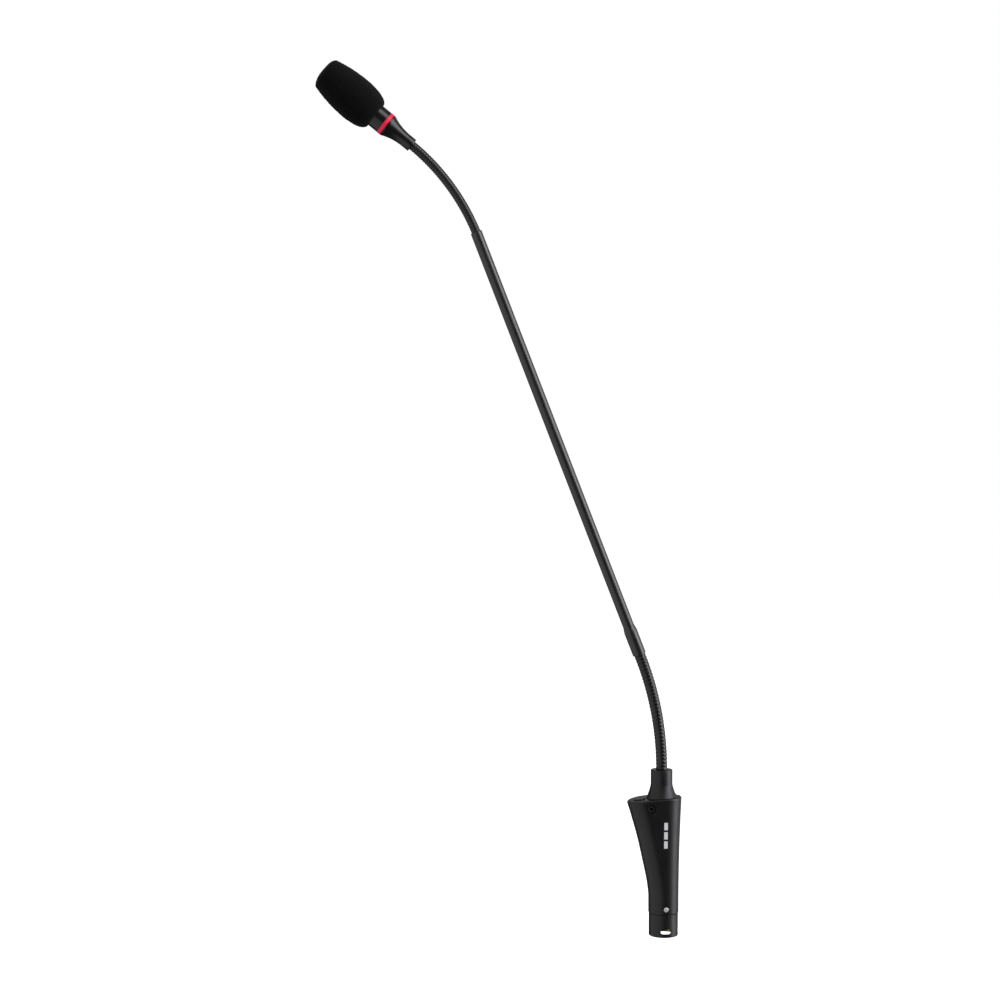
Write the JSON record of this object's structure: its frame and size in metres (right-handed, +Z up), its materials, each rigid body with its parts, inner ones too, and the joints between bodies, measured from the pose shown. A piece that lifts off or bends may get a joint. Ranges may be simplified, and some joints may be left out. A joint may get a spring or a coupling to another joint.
{
  "type": "gooseneck microphone",
  "caption": "Podium microphone with plug-in base, flared housing with a mute button, stiff stem between two flexible necks, lit ring and foam windscreen.",
  "frame": {"origin": "centre of the XLR plug's open rim, on the plug's axis", "axes": "+Z up along the plug and the housing; the neck, the head and the flare lean towards -X; the latch window, the retaining screw and the front side screw face -Y"},
  "size_m": [0.2353, 0.0276, 0.5593],
  "materials": {
    "base_black": "satin black paint over die-cast metal",
    "stem_black": "satin black coating on metal tube",
    "head_black": "satin black coating on machined metal",
    "plug_black": "black plated connector shell",
    "flex_black": "black oxide coiled steel",
    "screw_black": "black oxide screw",
    "bright_steel": "nickel-plated steel",
    "pin_gold": "gold-plated brass contact",
    "black_plastic": "moulded black plastic",
    "red_lens": "translucent red lens",
    "led_lens": "clear red lamp body",
    "circuit_board": "solder-masked glass epoxy",
    "capacitor_sleeve": "shrink-sleeved can",
    "cable_jacket": "flexible jacket",
    "capsule_metal": "drawn aluminium can",
    "rubber_mount": "soft isolation ring",
    "foam": "open-cell acoustic foam"
  },
  "bodies": {
    "base": {"housing": "base_black", "top_cover": "base_black", "side_screw_front": "screw_black", "side_screw_back": "screw_black", "tact_switch": "black_plastic", "switch_board": "circuit_board", "preamp_board": "circuit_board", "capacitor_1": "capacitor_sleeve", "capacitor_2": "capacitor_sleeve", "amplifier_chip": "black_plastic", "neck_collar": "base_black", "lock_washer": "bright_steel", "neck_nut": "bright_steel", "xlr_shell": "plug_black", "xlr_insulator": "black_plastic", "xlr_retaining_screw": "bright_steel", "xlr_pin_1": "pin_gold", "xlr_pin_2": "pin_gold", "xlr_pin_3": "pin_gold", "pin_wire_1": "cable_jacket", "pin_wire_2": "cable_jacket", "pin_wire_3": "cable_jacket", "signal_cable": "cable_jacket"},
    "mute_button": {"mute_button": "black_plastic", "switch_plunger": "black_plastic"},
    "lower_flex_link_01": {"lower_flex_link_01": "flex_black"},
    "lower_flex_link_02": {"lower_flex_link_02": "flex_black"},
    "lower_flex_link_03": {"lower_flex_link_03": "flex_black"},
    "lower_flex_link_04": {"lower_flex_link_04": "flex_black"},
    "lower_flex_link_05": {"lower_flex_link_05": "flex_black"},
    "lower_flex_link_06": {"lower_flex_link_06": "flex_black"},
    "lower_flex_link_07": {"lower_flex_link_07": "flex_black"},
    "lower_flex_link_08": {"lower_flex_link_08": "flex_black"},
    "lower_flex_link_09": {"lower_flex_link_09": "flex_black"},
    "lower_flex_link_10": {"lower_flex_link_10": "flex_black"},
    "lower_flex_link_11": {"lower_flex_link_11": "flex_black"},
    "stem": {"lower_ferrule": "stem_black", "stem_tube": "stem_black"},
    "upper_flex_link_01": {"upper_flex_link_01": "flex_black"},
    "upper_flex_link_02": {"upper_flex_link_02": "flex_black"},
    "upper_flex_link_03": {"upper_flex_link_03": "flex_black"},
    "upper_flex_link_04": {"upper_flex_link_04": "flex_black"},
    "upper_flex_link_05": {"upper_flex_link_05": "flex_black"},
    "upper_flex_link_06": {"upper_flex_link_06": "flex_black"},
    "upper_flex_link_07": {"upper_flex_link_07": "flex_black"},
    "upper_flex_link_08": {"upper_flex_link_08": "flex_black"},
    "upper_flex_link_09": {"upper_flex_link_09": "flex_black"},
    "upper_flex_link_10": {"upper_flex_link_10": "flex_black"},
    "upper_flex_link_11": {"upper_flex_link_11": "flex_black"},
    "head": {"neck_adapter": "head_black", "light_ring": "red_lens", "led_board": "circuit_board", "ring_led_1": "led_lens", "ring_led_2": "led_lens", "capsule_housing": "head_black", "capsule_mount": "rubber_mount", "condenser_capsule": "capsule_metal", "front_grille": "head_black"},
    "windscreen": {"foam_windscreen": "foam"}
  },
  "joints": [
    {"name": "mute_press", "type": "slide", "parent": "base", "child": "mute_button", "axis": [0.1405, 0, -0.9901], "range_m": [0, 0.0008], "stiffness_N_per_m": 1500, "springref_m": -0.0006},
    {"name": "lower_bend", "type": "hinge", "parent": "base", "child": "lower_flex_link_01", "pos_m": [-0.00138, 0, 0.1086], "axis": [0.0006, -1, 0.0006], "range_deg": [-14, 10], "deforming": ["signal_cable"]},
    {"name": "lower_side", "type": "hinge", "parent": "lower_flex_link_01", "child": "lower_flex_link_02", "pos_m": [-0.00152, 0, 0.11551], "axis": [0.9993, 0, 0.0374], "range_deg": [-12, 12]},
    {"name": "lower_bend_2", "type": "hinge", "parent": "lower_flex_link_02", "child": "lower_flex_link_03", "pos_m": [-0.0019, 0, 0.12241], "axis": [0.0006, -1, 0.0006], "range_deg": [-14, 10]},
    {"name": "lower_side_2", "type": "hinge", "parent": "lower_flex_link_03", "child": "lower_flex_link_04", "pos_m": [-0.00252, 0, 0.12929], "axis": [0.9942, 0, 0.1071], "range_deg": [-12, 12]},
    {"name": "lower_bend_3", "type": "hinge", "parent": "lower_flex_link_04", "child": "lower_flex_link_05", "pos_m": [-0.00338, 0, 0.13614], "axis": [0.0006, -1, 0.0006], "range_deg": [-14, 10]},
    {"name": "lower_side_3", "type": "hinge", "parent": "lower_flex_link_05", "child": "lower_flex_link_06", "pos_m": [-0.00448, 0, 0.14296], "axis": [0.9844, 0, 0.1762], "range_deg": [-12, 12]},
    {"name": "lower_bend_4", "type": "hinge", "parent": "lower_flex_link_06", "child": "lower_flex_link_07", "pos_m": [-0.00581, 0, 0.14974], "axis": [0.0006, -1, 0.0006], "range_deg": [-14, 10]},
    {"name": "lower_side_4", "type": "hinge", "parent": "lower_flex_link_07", "child": "lower_flex_link_08", "pos_m": [-0.00738, 0, 0.15647], "axis": [0.9697, 0, 0.2445], "range_deg": [-12, 12]},
    {"name": "lower_bend_5", "type": "hinge", "parent": "lower_flex_link_08", "child": "lower_flex_link_09", "pos_m": [-0.00919, 0, 0.16314], "axis": [0.0006, -1, 0.0006], "range_deg": [-14, 10]},
    {"name": "lower_side_5", "type": "hinge", "parent": "lower_flex_link_09", "child": "lower_flex_link_10", "pos_m": [-0.01123, 0, 0.16974], "axis": [0.9502, 0, 0.3116], "range_deg": [-12, 12]},
    {"name": "lower_bend_6", "type": "hinge", "parent": "lower_flex_link_10", "child": "lower_flex_link_11", "pos_m": [-0.01349, 0, 0.17627], "axis": [0.0006, -1, 0.0006], "range_deg": [-14, 10]},
    {"name": "lower_side_6", "type": "hinge", "parent": "lower_flex_link_11", "child": "stem", "pos_m": [-0.01599, 0, 0.18271], "axis": [0.9262, 0, 0.3771], "range_deg": [-12, 12]},
    {"name": "upper_bend", "type": "hinge", "parent": "stem", "child": "upper_flex_link_01", "pos_m": [-0.1223, 0, 0.45392], "axis": [0.0006, -1, 0.0006], "range_deg": [-14, 10]},
    {"name": "upper_side", "type": "hinge", "parent": "upper_flex_link_01", "child": "upper_flex_link_02", "pos_m": [-0.12481, 0, 0.45949], "axis": [0.9022, 0, 0.4313], "range_deg": [-12, 12]},
    {"name": "upper_bend_2", "type": "hinge", "parent": "upper_flex_link_02", "child": "upper_flex_link_03", "pos_m": [-0.12757, 0, 0.46495], "axis": [0.0006, -1, 0.0006], "range_deg": [-14, 10]},
    {"name": "upper_side_2", "type": "hinge", "parent": "upper_flex_link_03", "child": "upper_flex_link_04", "pos_m": [-0.13057, 0, 0.47028], "axis": [0.8604, 0, 0.5096], "range_deg": [-12, 12]},
    {"name": "upper_bend_3", "type": "hinge", "parent": "upper_flex_link_04", "child": "upper_flex_link_05", "pos_m": [-0.13381, 0, 0.47548], "axis": [0.0006, -1, 0.0006], "range_deg": [-14, 10]},
    {"name": "upper_side_3", "type": "hinge", "parent": "upper_flex_link_05", "child": "upper_flex_link_06", "pos_m": [-0.13727, 0, 0.48052], "axis": [0.8118, 0, 0.5839], "range_deg": [-12, 12]},
    {"name": "upper_bend_4", "type": "hinge", "parent": "upper_flex_link_06", "child": "upper_flex_link_07", "pos_m": [-0.14095, 0, 0.48541], "axis": [0.0006, -1, 0.0006], "range_deg": [-14, 10]},
    {"name": "upper_side_4", "type": "hinge", "parent": "upper_flex_link_07", "child": "upper_flex_link_08", "pos_m": [-0.14484, 0, 0.49012], "axis": [0.7568, 0, 0.6536], "range_deg": [-12, 12]},
    {"name": "upper_bend_5", "type": "hinge", "parent": "upper_flex_link_08", "child": "upper_flex_link_09", "pos_m": [-0.14894, 0, 0.49467], "axis": [0.0006, -1, 0.0006], "range_deg": [-14, 10]},
    {"name": "upper_side_5", "type": "hinge", "parent": "upper_flex_link_09", "child": "upper_flex_link_10", "pos_m": [-0.15324, 0, 0.49902], "axis": [0.6959, 0, 0.7182], "range_deg": [-12, 12]},
    {"name": "upper_bend_6", "type": "hinge", "parent": "upper_flex_link_10", "child": "upper_flex_link_11", "pos_m": [-0.15773, 0, 0.50318], "axis": [0.0006, -1, 0.0006], "range_deg": [-14, 10]},
    {"name": "upper_side_6", "type": "hinge", "parent": "upper_flex_link_11", "child": "head", "pos_m": [-0.1624, 0, 0.50713], "axis": [0.6294, 0, 0.7771], "range_deg": [-12, 12]},
    {"name": "windscreen_pull", "type": "slide", "parent": "head", "child": "windscreen", "axis": [-0.7793, 0, 0.6266], "range_m": [0, 0.024]}
  ],
  "couplings": [
    {"joint": "lower_bend_2", "follows": "lower_bend", "ratio": 1},
    {"joint": "lower_side_2", "follows": "lower_side", "ratio": 1},
    {"joint": "lower_bend_3", "follows": "lower_bend", "ratio": 1},
    {"joint": "lower_side_3", "follows": "lower_side", "ratio": 1},
    {"joint": "lower_bend_4", "follows": "lower_bend", "ratio": 1},
    {"joint": "lower_side_4", "follows": "lower_side", "ratio": 1},
    {"joint": "lower_bend_5", "follows": "lower_bend", "ratio": 1},
    {"joint": "lower_side_5", "follows": "lower_side", "ratio": 1},
    {"joint": "lower_bend_6", "follows": "lower_bend", "ratio": 1},
    {"joint": "lower_side_6", "follows": "lower_side", "ratio": 1},
    {"joint": "upper_bend_2", "follows": "upper_bend", "ratio": 1},
    {"joint": "upper_side_2", "follows": "upper_side", "ratio": 1},
    {"joint": "upper_bend_3", "follows": "upper_bend", "ratio": 1},
    {"joint": "upper_side_3", "follows": "upper_side", "ratio": 1},
    {"joint": "upper_bend_4", "follows": "upper_bend", "ratio": 1},
    {"joint": "upper_side_4", "follows": "upper_side", "ratio": 1},
    {"joint": "upper_bend_5", "follows": "upper_bend", "ratio": 1},
    {"joint": "upper_side_5", "follows": "upper_side", "ratio": 1},
    {"joint": "upper_bend_6", "follows": "upper_bend", "ratio": 1},
    {"joint": "upper_side_6", "follows": "upper_side", "ratio": 1}
  ]
}
